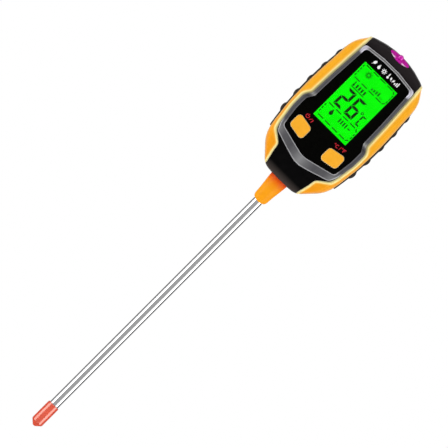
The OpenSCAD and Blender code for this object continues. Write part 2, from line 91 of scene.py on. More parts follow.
class Look:
    """A procedural material: a principled shader with object-space textures."""

    def __init__(self, name, **values):
        self.mat = bpy.data.materials.new(name)
        self.mat.use_nodes = True
        self.tree = self.mat.node_tree
        self.shader = self.tree.nodes["Principled BSDF"]
        self.coords = self.add("ShaderNodeTexCoord").outputs["Object"]
        for key, value in values.items():
            self.set(key.replace("_", " "), value)

    def add(self, kind, **props):
        """A new node of the given kind with its properties set."""
        node = self.tree.nodes.new(kind)
        for key, value in props.items():
            setattr(node, key, value)
        return node

    def set(self, key, value):
        """Sets one of the shader's inputs; a colour may leave out its alpha."""
        socket = self.shader.inputs[key]
        if hasattr(socket.default_value, "__len__") and len(value) == 3:
            value = (*value, 1.0)
        socket.default_value = value

    def link(self, a, b):
        self.tree.links.new(a, b)

    def stretched(self, scale):
        """Object coordinates multiplied by scale along each axis."""
        mapping = self.add("ShaderNodeMapping")
        mapping.inputs["Scale"].default_value = scale
        self.link(self.coords, mapping.inputs["Vector"])
        return mapping.outputs["Vector"]

    def noise(self, per_mm, detail, stretch=None):
        """Noise with about per_mm cells to the millimetre."""
        node = self.add("ShaderNodeTexNoise")
        node.inputs["Scale"].default_value = per_mm / MM
        node.inputs["Detail"].default_value = detail
        vector = self.stretched(stretch) if stretch else self.coords
        self.link(vector, node.inputs["Vector"])
        return node.outputs["Fac"]

    def ramp(self, factor, stops):
        """A colour ramp from (position, colour) stops."""
        node = self.add("ShaderNodeValToRGB")
        set_stops(node.color_ramp, stops)
        self.link(factor, node.inputs["Fac"])
        return node.outputs["Color"]

    def levels(self, factor, stops):
        """A grey ramp from (position, level) stops."""
        return self.ramp(factor, [(position, grey(level)) for position, level in stops])

    def span(self, factor, low, high, to_low, to_high):
        """factor from low..high mapped to to_low..to_high, clamped."""
        node = self.add("ShaderNodeMapRange")
        for key, value in (("From Min", low), ("From Max", high), ("To Min", to_low), ("To Max", to_high)):
            node.inputs[key].default_value = value
        self.link(factor, node.inputs["Value"])
        return node.outputs["Result"]

    def along(self, coordinate, low, high, to_low, to_high):
        """span() of a coordinate in metres between two places in millimetres."""
        return self.span(coordinate, low * MM, high * MM, to_low, to_high)

    def axis(self, name):
        """The X, Y or Z object coordinate, in metres."""
        node = self.add("ShaderNodeSeparateXYZ")
        self.link(self.coords, node.inputs["Vector"])
        return node.outputs[name]

    def maths(self, operation, a, b=None):
        """One arithmetic step on sockets or numbers."""
        node = self.add("ShaderNodeMath", operation=operation)
        for socket, value in zip(node.inputs, (a, b)):
            if isinstance(value, (int, float)):
                socket.default_value = value
            elif value is not None:
                self.link(value, socket)
        return node.outputs[0]

    def times(self, a, b):
        return self.maths("MULTIPLY", a, b)

    def off_centre(self):
        """Distance from the plane that halves the object, in metres."""
        return self.maths("ABSOLUTE", self.axis("X"))

    def outline(self, blend, power):
        """0 where the surface faces the eye, rising to 1 at its outline."""
        node = self.add("ShaderNodeLayerWeight")
        node.inputs["Blend"].default_value = blend
        return self.maths("POWER", node.outputs["Facing"], power)

    def attribute(self, name):
        """A number stored with the mesh's vertices."""
        return self.add("ShaderNodeAttribute", attribute_name=name).outputs["Fac"]

    def mix(self, factor, a, b):
        """Colour a where factor is 0 and b where it is 1; a and b are colours or sockets."""
        node = self.add("ShaderNodeMix", data_type="RGBA")
        self.link(factor, node.inputs[0])
        for socket, value in ((node.inputs[6], a), (node.inputs[7], b)):
            if isinstance(value, tuple):
                socket.default_value = (*value, 1.0)
            else:
                self.link(value, socket)
        return node.outputs[2]

    def base(self):
        """The socket that colours the shader so far."""
        return self.shader.inputs["Base Color"].links[0].from_socket

    def colour(self, socket):
        self.link(socket, self.shader.inputs["Base Color"])

    def drift(self, noise, dark, light):
        """Two close shades that noise mixes."""
        return self.ramp(noise, [(0.3, dark), (0.7, light)])

    def mottle(self, dark, light, per_mm=0.25, stretch=None):
        """Base colour that drifts between two close shades."""
        shades = self.drift(self.noise(per_mm, 4.0, stretch), dark, light)
        self.colour(shades)
        return shades

    def rough(self, low, high, per_mm=1.2, stretch=None):
        """Roughness that drifts between two values."""
        noise = self.noise(per_mm, 4.0, stretch)
        self.link(self.span(noise, 0.3, 0.7, low, high), self.shader.inputs["Roughness"])

    def bump(self, height, depth_mm):
        """Relief of the given depth from a height socket, on top of any there is."""
        node = self.add("ShaderNodeBump")
        node.inputs["Distance"].default_value = depth_mm * MM
        self.link(height, node.inputs["Height"])
        previous = self.shader.inputs["Normal"]
        if previous.is_linked:
            self.link(previous.links[0].from_socket, node.inputs["Normal"])
        self.link(node.outputs["Normal"], previous)

    def grain(self, per_mm, depth_mm, stretch=None):
        """Fine relief from noise."""
        self.bump(self.noise(per_mm, 2.0, stretch), depth_mm)

    def finished(self, roughness, grain, per_mm=1.2):
        """The material, with drifting roughness and grain of (cells per mm, depth in mm)."""
        self.rough(*roughness, per_mm)
        self.grain(*grain)
        return self.mat


def moulded(name, dark, light, roughness, specular=0.35, grain=(5.0, 0.012)):
    """Moulded plastic with spark-eroded grain."""
    look = Look(name, Specular_IOR_Level=specular)
    look.mottle(dark, light)
    look.rough(*roughness)
    look.grain(*grain)
    return look


def black_shell():
    """Black plastic of the rear shell and the battery door."""
    look = moulded("black_abs", (0.008, 0.0075, 0.008), (0.013, 0.012, 0.0125), (0.34, 0.46), 0.3)
    return look.mat


def front_shell(low_z, high_z):
    """The same black; its lower end has a painted warm reflection of the collar, and it is greyer towards
    its top.
    """
    look = moulded("black_abs_front", (0.0010, 0.0009, 0.0010), (0.0022, 0.0019, 0.0021), (0.36, 0.48),
                   0.05)
    up = look.axis("Z")
    # Painted reflection of the orange collar on the shell's lower end.
    painted_collar_reflection = look.along(up, low_z + 1, low_z + 5.5, 1.0, 0.0)
    with_painted_light = look.mix(painted_collar_reflection, look.base(), (0.050, 0.040, 0.036))
    # Greyer towards the top.
    greyer_top = look.along(up, high_z - 16, high_z - 7, 0.0, 1.0)
    look.colour(look.mix(greyer_top, with_painted_light, (0.016, 0.013, 0.014)))
    return look.mat


def orange_panel(low_z, high_z):
    """Orange plastic, deeper towards the nose; along its inner edge a painted shade in the groove and a
    painted highlight on the crest, and a painted pale sheen at its outline.
    """
    look = Look("orange_abs", Specular_IOR_Level=0.10)
    grain = look.noise(0.22, 4.0)
    upper = look.drift(grain, (0.85, 0.368, 0.007), (0.89, 0.390, 0.010))
    lower = look.drift(grain, (0.86, 0.292, 0.004), (0.90, 0.312, 0.007))
    drop = look.along(look.axis("Z"), low_z, low_z + 0.42 * (high_z - low_z), 1.0, 0.0)
    body = look.mix(drop, upper, lower)
    # Painted shade in the groove next to the inner edge, then a painted highlight on the crest.
    inset = look.span(look.attribute("inset"), 0.0, CREST_END, 0.0, 1.0)
    crest = look.ramp(inset, [(0.0, (0.46, 0.410, 0.250)), (0.13, (0.66, 0.580, 0.270)),
                              (0.26, (0.90, 0.760, 0.300)), (0.39, (0.97, 0.790, 0.310)),
                              (0.50, (0.93, 0.630, 0.180)), (0.64, (0.88, 0.460, 0.070)),
                              (1.0, (0.87, 0.385, 0.014))])
    near = look.span(inset, 0.45, 1.0, 1.0, 0.0)
    colour = look.mix(near, body, crest)
    # Painted pale sheen where the surface turns away at the outline.
    outline = look.times(look.outline(0.35, 3.0), 0.5)
    look.colour(look.mix(outline, colour, (0.95, 0.66, 0.32)))
    return look.finished((0.34, 0.44), (4.0, 0.006))


def button_plastic(front_y):
    """Orange silicone cap with a painted pale highlight on the edge below its front face."""
    look = Look("button_silicone", Specular_IOR_Level=0.14)
    body = look.mottle((0.86, 0.388, 0.018), (0.90, 0.412, 0.026), 0.3)
    # Painted highlight on the rounded edge below the front face.
    edge = look.along(look.axis("Y"), front_y + 0.02, front_y + 0.16, 0.0, 1.0)
    look.colour(look.mix(edge, body, (0.97, 0.84, 0.52)))
    return look.finished((0.40, 0.52), (7.0, 0.006))


def brushed(name, dark, light, roughness, metallic, stretch, per_mm=3.0, depth=0.004):
    """Metal or metal paint with brush lines across the stretched axis."""
    look = Look(name, Metallic=metallic)
    look.mottle(dark, light, per_mm, stretch)
    look.rough(*roughness, per_mm, stretch)
    look.grain(per_mm * 1.5, depth, stretch)
    return look


def bezel_bands(look, tone, low_z, top_z):
    """Painted highlight in the middle and at the ends of the lower band; lighter along the top band."""
    up = look.axis("Z")
    across = look.off_centre()
    # Painted highlight across the lower band, brightest in its middle and at its ends.
    centre = look.levels(look.along(across, 0.0, 24, 0.0, 1.0),
                         [(0.0, 1.0), (0.22, 0.35), (0.42, 0.05), (0.75, 0.15), (1.0, 0.9)])
    low = look.along(up, low_z + 9, low_z + 15, 1.0, 0.0)
    lit = look.mix(look.times(centre, low), tone, (0.27, 0.27, 0.275))
    high = look.along(up, top_z - 6.5, top_z - 4, 0.0, 0.85)
    return look.mix(high, lit, (0.165, 0.160, 0.155))


def bezel_rims(look, tone, low_z, top_z):
    """Painted highlights on both rims at the bezel's lower and upper end."""
    up = look.axis("Z")
    ends = look.maths("MAXIMUM", look.along(up, low_z + 11, low_z + 16, 0.85, 0.0),
                      look.along(up, top_z - 7, top_z - 5, 0.0, 0.85))
    # Painted highlight on the rims near both ends.
    painted_rim_highlight = look.times(look.attribute("edge"), ends)
    return look.mix(painted_rim_highlight, tone, (0.44, 0.44, 0.455))


def bezel_corners(look, tone, top_z):
    """The two upper corners, with a painted highlight."""
    across = look.off_centre()
    inner = look.along(across, 17.6, 19.2, 0.0, 1.0)
    outer = look.along(across, 20.4, 21.6, 1.0, 0.2)
    upper = look.along(look.axis("Z"), top_z - 8.2, top_z - 6.8, 0.0, 1.0)
    corner = look.times(inner, look.times(upper, outer))
    return look.mix(corner, tone, (0.60, 0.58, 0.66))


def bezel_kinks(look, tone, kink_z):
    """A glint on the kink in each flank and a shade under it."""
    near = look.along(look.axis("Z"), kink_z - 5, kink_z + 3, 0.0, 1.0)
    glint = look.levels(near, [(0.0, 0.0), (0.52, 0.0), (0.70, 0.8), (0.82, 0.4), (1.0, 0.0)])
    glinted = look.mix(glint, tone, (0.36, 0.36, 0.34))
    shade = look.levels(near, [(0.0, 0.0), (0.18, 0.2), (0.36, 0.75), (0.52, 0.0), (1.0, 0.0)])
    return look.mix(shade, glinted, (0.018, 0.018, 0.022))


def bezel_metal(low_z, top_z):
    """Brushed gunmetal paint with its painted highlights and painted shade."""
    look = brushed("bezel_metal", (0.062, 0.061, 0.068), (0.092, 0.090, 0.100), (0.34, 0.46), 0.35,
                   (1.0, 1.0, 0.08))
    tone = bezel_bands(look, look.base(), low_z, top_z)
    tone = bezel_rims(look, tone, low_z, top_z)
    tone = bezel_corners(look, tone, top_z)
    look.colour(bezel_kinks(look, tone, low_z + 0.44 * (top_z - low_z)))
    return look.mat


def gloss_black():
    """Polished black face plate."""
    look = Look("gloss_black", Specular_IOR_Level=0.03)
    look.mottle((0.0006, 0.0006, 0.0004), (0.0013, 0.0013, 0.0009), 0.4)
    return look.finished((0.10, 0.16), (0.25, 0.004), 0.6)


def clear_window():
    """Clear acrylic."""
    look = Look("clear_window", Transmission_Weight=1.0, IOR=1.15, Base_Color=(1.0, 1.0, 1.0))
    return look.finished((0.0, 0.02), (0.2, 0.001), 0.5)


def lcd_glow():
    """Backlit green: a faint cell grid over an even glow."""
    look = Look("lcd_glass", Roughness=0.3, Specular_IOR_Level=0.0, Base_Color=(0.0, 0.02, 0.0))
    cells = look.noise(0.12, 2.0)
    glow = look.drift(cells, (0.0010, 0.88, 0.0006), (0.0022, 0.96, 0.0014))
    look.link(glow, look.shader.inputs["Emission Color"])
    look.set("Emission Strength", 1.0)
    look.grain(3.0, 0.002)
    return look.mat


def ink(name, dark, light):
    """Matt printing ink."""
    look = Look(name, Specular_IOR_Level=0.1)
    look.mottle(dark, light, 1.5)
    return look.finished((0.4, 0.55), (6.0, 0.003), 3.0)


def lens_magenta(top_z):
    """Tinted glossy lens with painted highlights along the sides of its lower rim and painted shade at its
    outline.
    """
    look = Look("magenta_lens", IOR=2.2, Specular_Tint=(1.0, 0.32, 0.88))
    grain = look.noise(0.4, 4.0)
    deep = look.drift(grain, (0.50, 0.001, 0.31), (0.58, 0.002, 0.38))
    # Painted highlights along the sides of the lower rim.
    across = look.off_centre()
    sides = look.times(look.along(across, 2.3, 3.2, 0.0, 1.0), look.along(across, 6.1, 6.9, 1.0, 0.0))
    off_rim = look.maths("ABSOLUTE", look.maths("SUBTRACT", look.axis("Z"), (top_z - 4.15) * MM))
    painted_lower_highlight = look.times(sides, look.along(off_rim, 0.25, 0.6, 0.9, 0.0))
    with_painted_light = look.mix(painted_lower_highlight, deep, (0.90, 0.70, 0.84))
    # Painted shade at the outline.
    outline = look.outline(0.5, 2.5)
    look.colour(look.mix(outline, with_painted_light, (0.18, 0.002, 0.10)))
    return look.finished((0.06, 0.10), (1.2, 0.001))


def collar_orange(low_z, high_z):
    """Smooth orange plastic with painted shade that darkens it to red where it enters the head."""
    look = Look("collar_orange", Specular_IOR_Level=0.10)
    up = look.along(look.axis("Z"), low_z, high_z, 0.0, 1.0)
    # Painted shade under the head: orange turns red, then dark red at the top.
    tone = look.ramp(up, [(0.0, (0.93, 0.350, 0.006)), (0.52, (0.93, 0.345, 0.008)),
                          (0.70, (0.94, 0.290, 0.006)), (0.86, (0.94, 0.150, 0.005)),
                          (0.95, (0.86, 0.075, 0.005)), (1.0, (0.60, 0.040, 0.005))])
    speck = look.span(look.noise(0.5, 4.0), 0.3, 0.7, 0.0, 0.05)
    look.colour(look.mix(speck, tone, (0.95, 0.40, 0.02)))
    return look.finished((0.34, 0.42), (4.0, 0.004))


def polished_steel():
    """Bright tube with a trace of lengthwise polish."""
    look = brushed("probe_steel", (0.84, 0.845, 0.85), (0.88, 0.885, 0.89), (0.09, 0.14), 1.0,
                   (1.0, 1.0, 0.04), 1.0, 0.0006)
    return look.mat


def cap_vinyl():
    """Glossy red vinyl with painted dull, dark shade at its outline."""
    look = Look("cap_red", IOR=2.35, Specular_Tint=(1.0, 0.99, 0.9))
    body = look.mottle((0.71, 0.046, 0.004), (0.79, 0.058, 0.008), 0.3)
    # Painted shade at the outline.
    outline = look.outline(0.4, 4.0)
    look.colour(look.mix(outline, body, (0.30, 0.055, 0.050)))
    return look.finished((0.21, 0.26), (3.0, 0.003))


def grip_rubber():
    """Matt soft-touch rubber."""
    look = moulded("grip_rubber", (0.030, 0.028, 0.026), (0.048, 0.046, 0.042), (0.55, 0.72), 0.3,
                   (3.5, 0.03))
    return look.mat


def circuit_green():
    """Solder mask with copper tracks under it."""
    look = Look("circuit_board", Specular_IOR_Level=0.5)
    cells = look.add("ShaderNodeTexVoronoi", distance="CHEBYCHEV", feature="DISTANCE_TO_EDGE")
    cells.inputs["Scale"].default_value = 0.35 / MM
    look.link(look.coords, cells.inputs["Vector"])
    tracks = look.span(cells.outputs["Distance"], 0.04, 0.07, 1.0, 0.0)
    look.colour(look.mix(tracks, (0.010, 0.085, 0.022), (0.030, 0.19, 0.045)))
    look.rough(0.22, 0.34)
    look.bump(tracks, 0.03)
    return look.mat


def foam():
    """Open-cell foam of the battery pad."""
    look = Look("foam", Specular_IOR_Level=0.1)
    look.mottle((0.018, 0.018, 0.020), (0.045, 0.045, 0.050), 2.5)
    return look.finished((0.85, 0.98), (2.2, 0.15))


def battery_can(low_z, high_z):
    """Printed battery sleeve: dark can, pale band next to the terminals, metal seam lines."""
    look = Look("battery_case", Metallic=0.6)
    up = look.along(look.axis("Z"), low_z, high_z, 0.0, 1.0)
    tone = look.ramp(up, [(0.0, (0.40, 0.41, 0.43)), (0.02, (0.40, 0.41, 0.43)),
                          (0.03, (0.55, 0.56, 0.58)), (0.20, (0.55, 0.56, 0.58)),
                          (0.21, (0.02, 0.05, 0.12)), (1.0, (0.03, 0.07, 0.16))])
    speck = look.span(look.noise(0.6, 4.0), 0.3, 0.7, 0.0, 0.15)
    look.colour(look.mix(speck, tone, (0.30, 0.31, 0.33)))
    return look.finished((0.25, 0.38), (1.0, 0.01), 0.8)


# Plain plastics: darker shade, lighter shade, lowest and highest roughness.
PLASTICS = {
    "white_plastic": ((0.72, 0.73, 0.71), (0.8, 0.81, 0.79), (0.4, 0.5)),
    "carbon": (grey(0.01), grey(0.02), (0.7, 0.85)),
    "grey_silicone": ((0.24, 0.25, 0.25), (0.29, 0.3, 0.3), (0.5, 0.65)),
    "seal_rubber": (grey(0.012), grey(0.02), (0.6, 0.75)),
    "chip_epoxy": ((0.01, 0.01, 0.011), (0.018, 0.018, 0.019), (0.45, 0.6)),
    "led": ((0.8, 0.8, 0.55), (0.86, 0.86, 0.62), (0.25, 0.35)),
    "light_guide": ((0.55, 0.8, 0.52), (0.62, 0.86, 0.58), (0.15, 0.25)),
    "capacitor_sleeve": ((0.02, 0.03, 0.07), (0.03, 0.045, 0.1), (0.3, 0.4)),
    "sensor_epoxy": ((0.78, 0.75, 0.66), (0.84, 0.81, 0.72), (0.2, 0.3)),
    "red_wire": ((0.5, 0.012, 0.01), (0.6, 0.02, 0.016), (0.35, 0.5)),
    "black_wire": (grey(0.008), grey(0.015), (0.4, 0.55)),
    "grey_wire": ((0.52, 0.52, 0.51), (0.6, 0.6, 0.59), (0.4, 0.55)),
    "bead_epoxy": ((0.02, 0.014, 0.01), (0.035, 0.025, 0.018), (0.3, 0.4)),
}
# Bare metals: the same, then metallic, stretch of the brush lines, lines per mm, their depth in mm.
METALS = {
    "zinc_screw": ((0.42, 0.43, 0.44), (0.55, 0.56, 0.57), (0.25, 0.42), 1.0, (1.0, 1.0, 1.0), 1.5, 0.006),
    "tip_metal": ((0.5, 0.51, 0.52), (0.6, 0.61, 0.62), (0.2, 0.3), 1.0, (1.0, 1.0, 0.05), 2.0, 0.004),
    "brass_contact": ((0.62, 0.46, 0.2), (0.72, 0.55, 0.26), (0.2, 0.35), 1.0, (1.0, 1.0, 1.0), 1.5,
                      0.005),
}
# Inks: darker and lighter shade.
INKS = {
    "white_print": (grey(0.74), grey(0.84)),
    "red_print": ((0.42, 0.012, 0.022), (0.54, 0.022, 0.034)),
    "lcd_ink": ((0.001, 0.012, 0.001), (0.003, 0.022, 0.002)),
}


def make_looks():
    """Looks that need no measure from the frame, by name."""
    looks = {"shell": black_shell(), "steel": polished_steel(), "board": circuit_green(), "foam": foam()}
    for name, values in PLASTICS.items():
        looks[name] = moulded(name, *values).mat
    for name, values in METALS.items():
        looks[name] = brushed(name, *values).mat
    for name, values in INKS.items():
        looks[name] = ink(name, *values)
    return looks


# ---- Mesh helpers ----
def in_scene(name, data):
    """A new object of the scene that shows the data."""
    obj = bpy.data.objects.new(name, data)
    bpy.context.scene.collection.objects.link(obj)
    return obj


def add_object(name, mesh, material):
    """A scene object that shows the mesh in one material."""
    obj = in_scene(name, mesh)
    mesh.materials.clear()
    mesh.materials.append(material)
    return obj


def mark_creases(bm, degrees):
    """Smooth shading everywhere except across edges sharper than the given angle."""
    for face in bm.faces:
        face.smooth = True
    for edge in bm.edges:
        edge.smooth = edge.calc_face_angle(math.pi) < math.radians(degrees)


def to_mesh(name, bm, degrees=32):
    """A mesh from bm, facing outwards, with edges sharper than the given angle kept crisp."""
    bmesh.ops.recalc_face_normals(bm, faces=bm.faces)
    mark_creases(bm, degrees)
    mesh = bpy.data.meshes.new(name)
    bm.to_mesh(mesh)
    bm.free()
    return mesh


def place(obj, body, slot, *nodes):
    """Puts a piece on its body; the slot is not used. It stands in for the nodes named."""
    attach(obj, body)
    if nodes:
        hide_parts(*nodes)


def soften(obj, width, segments=2, degrees=30):
    """Rounded edges of the given width in mm, with even shading across the flats."""
    bevel = obj.modifiers.new("rounded_edges", "BEVEL")
    bevel.width = width * MM
    bevel.segments = segments
    bevel.limit_method = "ANGLE"
    bevel.angle_limit = math.radians(degrees)
    bevel.harden_normals = True
    weighted = obj.modifiers.new("even_shading", "WEIGHTED_NORMAL")
    weighted.keep_sharp = True


def cleaned(node):
    """A CAD node's mesh with its flat faces joined up again."""
    bm = bmesh.new()
    bm.from_mesh(NODES[node].data)
    bmesh.ops.remove_doubles(bm, verts=bm.verts, dist=0.002 * MM)
    bmesh.ops.dissolve_limit(bm, angle_limit=math.radians(0.5), verts=bm.verts, edges=bm.edges)
    return bm


def refined(node, name, material, slot, width, segments=2, degrees=30, body=ROOT):
    """A CAD node's shape with rounded edges and its own material."""
    obj = add_object(name, to_mesh(name, cleaned(node)), material)
    soften(obj, width, segments, degrees)
    place(obj, body, slot, node)


def lathe(name, profile, material, steps):
    """A closed solid of revolution about Z from a closed (radius, z) profile."""
    bm = bmesh.new()
    rings = []
    for k in range(steps):
        turn = 2 * math.pi * k / steps
        across, ahead = math.cos(turn) * MM, math.sin(turn) * MM
        rings.append([bm.verts.new((r * across, r * ahead, z * MM)) for r, z in profile])
    count = len(profile)
    for k in range(steps):
        here, there = rings[k], rings[(k + 1) % steps]
        for i in range(count):
            j = (i + 1) % count
            bm.faces.new((here[i], there[i], there[j], here[j]))
    bmesh.ops.remove_doubles(bm, verts=bm.verts, dist=0.001 * MM)
    return add_object(name, to_mesh(name, bm), material)


def arc(cx, cz, r, start, stop, steps):
    """Points of an arc in degrees, both ends included."""
    turns = [math.radians(start + (stop - start) * i / steps) for i in range(steps + 1)]
    return [(cx + r * math.cos(t), cz + r * math.sin(t)) for t in turns]


def bar(x0, z0, x1, z1, width):
    """A straight stroke as four points."""
    length = math.hypot(x1 - x0, z1 - z0)
    nx, nz = -(z1 - z0) / length * width / 2, (x1 - x0) / length * width / 2
    return [(x0 + nx, z0 + nz), (x1 + nx, z1 + nz), (x1 - nx, z1 - nz), (x0 - nx, z0 - nz)]


def ring_shapes(cx, cz, r, width, start=0, stop=360, steps=20):
    """A ring or part of one, as short pieces that meet and don't overlap."""
    outer = arc(cx, cz, r + width / 2, start, stop, steps)
    inner = arc(cx, cz, r - width / 2, start, stop, steps)
    return [[outer[i], outer[i + 1], inner[i + 1], inner[i]] for i in range(steps)]


def turned(shapes, cx, cz, degrees):
    """Shapes made about (0, 0), turned and moved to (cx, cz)."""
    c, s = math.cos(math.radians(degrees)), math.sin(math.radians(degrees))
    return [[(cx + x * c - z * s, cz + x * s + z * c) for x, z in shape] for shape in shapes]


def printed(name, shapes, front_y, thickness, material, slot, body=ROOT, facing=-1):
    """Flat printed shapes in the x-z plane, standing on front_y and facing -Y (or +Y)."""
    bm = bmesh.new()
    top_y = front_y + facing * thickness
    for shape in shapes:
        low = [bm.verts.new((x * MM, front_y * MM, z * MM)) for x, z in shape]
        high = [bm.verts.new((x * MM, top_y * MM, z * MM)) for x, z in shape]
        bm.faces.new(low)
        bm.faces.new(list(reversed(high)))
        for i in range(len(shape)):
            j = (i + 1) % len(shape)
            bm.faces.new((low[j], low[i], high[i], high[j]))
    bmesh.ops.remove_doubles(bm, verts=bm.verts, dist=0.0005 * MM)
    drop_inner_walls(bm)
    obj = add_object(name, to_mesh(name, bm), material)
    place(obj, body, slot)
    return obj


def drop_inner_walls(bm):
    """Removes walls that two neighbouring shapes share."""
    bm.verts.index_update()
    seen = {}
    for face in bm.faces:
        key = frozenset(v.index for v in face.verts)
        seen.setdefault(key, []).append(face)
    twice = [face for faces in seen.values() if len(faces) > 1 for face in faces]
    bmesh.ops.delete(bm, geom=twice, context="FACES_ONLY")


# ---- Side panels ----
PANEL_ROWS = 210    # rows of points from the panel's top to its bottom
FRONT_STEPS = 22    # steps of a row across the front
SIDE_STEPS = 10     # and round the side to the parting line
CREST_AT = 1.55     # distance of the crest's top from the panel's inner edge
CREST_HALF = 1.5    # half its width
CREST_HEIGHT = 0.45
CREST_END = 4.0     # distance from the inner edge at which the painted shade and highlight of the crest are gone
NOSE_Z = 40.0       # below this height the crest gets narrower,
NOSE_FADE = 6.0     # over this length,
NOSE_SQUEEZE = 0.5  # by this share
PANEL_WALL = 1.2
PANEL_END = 0.12    # distance of the first and the last row from the panel's ends
INSIDE = 0.02       # how far inside the inner edge the rays of a row start
PARTING = 0.06      # and how far in front of the parting plane
RAY = 60            # longer than the head is wide


def section_ends(edges, side, z):
    """Smallest and largest distance from the centre plane where the panel crosses height z."""
    a, b = edges
    crossing = (a[:, 2] - z) * (b[:, 2] - z) < 0
    p, q = a[crossing], b[crossing]
    t = (z - p[:, 2]) / (q[:, 2] - p[:, 2])
    x = side * (p[:, 0] + t * (q[:, 0] - p[:, 0]))
    return float(x.min()), float(x.max())


def panel_row(tree, side, z, inner, outer, depth):
    """Points on the panel's outer surface at height z, from its inner edge to the parting line."""
    width = outer - inner
    targets = []
    for i in range(FRONT_STEPS + 1):
        targets.append((inner + INSIDE + width * i / FRONT_STEPS, -depth - 1.0))
    for i in range(1, SIDE_STEPS + 1):
        targets.append((outer + 0.5, -(depth + 1.0) * (1 - i / SIDE_STEPS)))
    points = []
    for x, y in targets:
        heading = Vector((side * (x - inner - INSIDE), y + PARTING, 0)).normalized()
        start = Vector((side * (inner + INSIDE), -PARTING, z))
        hit = tree.ray_cast(start + heading * RAY, -heading, RAY)[0]
        points.append(hit if hit else Vector((side * inner, -PARTING, z)))
    return points


def edge_distance(points, edge):
    """Distance of each point to the polyline of the panel's inner edge."""
    a, b = edge[:-1], edge[1:]
    ab = b - a
    best = np.full(len(points), 1e9)
    for i in range(len(a)):
        t = np.clip(((points - a[i]) @ ab[i]) / max(ab[i] @ ab[i], 1e-9), 0, 1)
        gap = np.linalg.norm(points - a[i] - t[:, None] * ab[i], axis=1)
        best = np.minimum(best, gap)
    return best


def grid_normals(grid, side):
    """Outward normals of a grid of points."""
    along = np.gradient(grid, axis=0)
    across = np.gradient(grid, axis=1)
    normals = np.cross(across, along) * -side
    length = np.linalg.norm(normals, axis=2, keepdims=True)
    return normals / np.maximum(length, 1e-9)


def panel_grid(node, side):
    """The panel's outer surface as rows of points, and each point's distance to the inner edge."""
    source = NODES[node].data
    co = np.array([v.co for v in source.vertices]) / MM
    ends = np.array([e.vertices for e in source.edges])
    edges = (co[ends[:, 0]], co[ends[:, 1]])
    tree = BVHTree.FromPolygons([Vector(c) for c in co], [p.vertices[:] for p in source.polygons])
    low, high = box_mm(node)
    rows = []
    for k in range(PANEL_ROWS + 1):
        z = high.z - PANEL_END - (high.z - low.z - 2 * PANEL_END) * k / PANEL_ROWS
        inner, outer = section_ends(edges, side, z)
        rows.append(panel_row(tree, side, z, inner, outer, -low.y))
    grid = np.array([[tuple(p) for p in row] for row in rows])
    flat = grid.reshape(-1, 3)
    distance = edge_distance(flat, grid[:, 0]).reshape(grid.shape[:2])
    return grid, distance


def crested(grid, distance, side):
    """The panel's surface with a crest raised along its inner edge."""
    reach = np.clip((distance - CREST_AT) / CREST_HALF, -1, 1)
    lift = CREST_HEIGHT * 0.5 * (1 + np.cos(math.pi * reach))
    shaped = grid + grid_normals(grid, side) * lift[:, :, None]
    shaped[:, :, 1] = np.minimum(shaped[:, :, 1], -0.05)
    return shaped


def side_panel(node, name, side, material):
    """Orange panel: the CAD surface with a raised crest along its inner edge."""
    grid, distance = panel_grid(node, side)
    nose = np.clip((NOSE_Z - grid[:, :, 2]) / NOSE_FADE, 0, 1)
    distance = distance * (1 + NOSE_SQUEEZE * nose)
    shaped = crested(grid, distance, side)
    count, wide = distance.shape
    bm = bmesh.new()
    tone = bm.verts.layers.float.new("inset")
    verts = [[bm.verts.new(shaped[i, j] * MM) for j in range(wide)] for i in range(count)]
    for i in range(count):
        for j in range(wide):
            verts[i][j][tone] = float(distance[i, j])
    for i in range(count - 1):
        for j in range(wide - 1):
            bm.faces.new((verts[i][j], verts[i][j + 1], verts[i + 1][j + 1], verts[i + 1][j]))
    bmesh.ops.remove_doubles(bm, verts=bm.verts, dist=0.01 * MM)
    mesh = to_mesh(name, bm, 50)
    obj = add_object(name, mesh, material)
    face_outwards(mesh, side)
    thick = obj.modifiers.new("wall", "SOLIDIFY")
    thick.thickness = PANEL_WALL * MM
    thick.offset = -1.0
    place(obj, ROOT, "orange_abs", node)


def face_outwards(mesh, side):
    """Turns an open shell's faces so that most of its area faces away from the centre plane."""
    total = sum(p.normal.x * side * p.area for p in mesh.polygons)
    if total < 0:
        mesh.flip_normals()


# ---- Bezel ----
RIM_W = 0.35       # flat top of the raised rims
RIM_SLOPE_W = 0.3  # their slope to the field between them
RIM_HEIGHT = 0.22


def bezel(material):
    """The CAD bezel with a thin raised rim along both edges of its front."""
    bm = cleaned("bezel")
    front = min(v.co.y for v in bm.verts)
    field = [f for f in bm.faces if all(abs(v.co.y - front) < 0.01 * MM for v in f.verts)]
    # 1 on the raised rims and 0 on the field; the material paints its rim highlight where it is 1.
    tone = bm.verts.layers.float.new("edge")
    for vert in bm.verts:
        vert[tone] = 1.0
    bmesh.ops.inset_region(bm, faces=field, thickness=RIM_W * MM, use_even_offset=True)
    bmesh.ops.inset_region(bm, faces=field, thickness=RIM_SLOPE_W * MM, depth=-RIM_HEIGHT * MM,
                           use_even_offset=True)
    for face in field:
        for vert in face.verts:
            vert[tone] = 0.0
    obj = add_object("bezel_trim", to_mesh("bezel_trim", bm), material)
    soften(obj, 0.18, 2, 40)
    place(obj, ROOT, "bezel_metal", "bezel")


# ---- Display ----
DIGIT_W = 6.75  # the two large digits
DIGIT_H = 13.9
STROKE = 1.75   # width of their strokes
SLANT = 0.045   # how far they lean for each mm of height
LINE = 0.62     # width of the dashed frames' lines
SEGMENTS = {"2": "abged", "6": "afgedc", "C": "adef"}
MARKS_DROP = 0.5  # the marks are laid out from this far below the window's lower edge


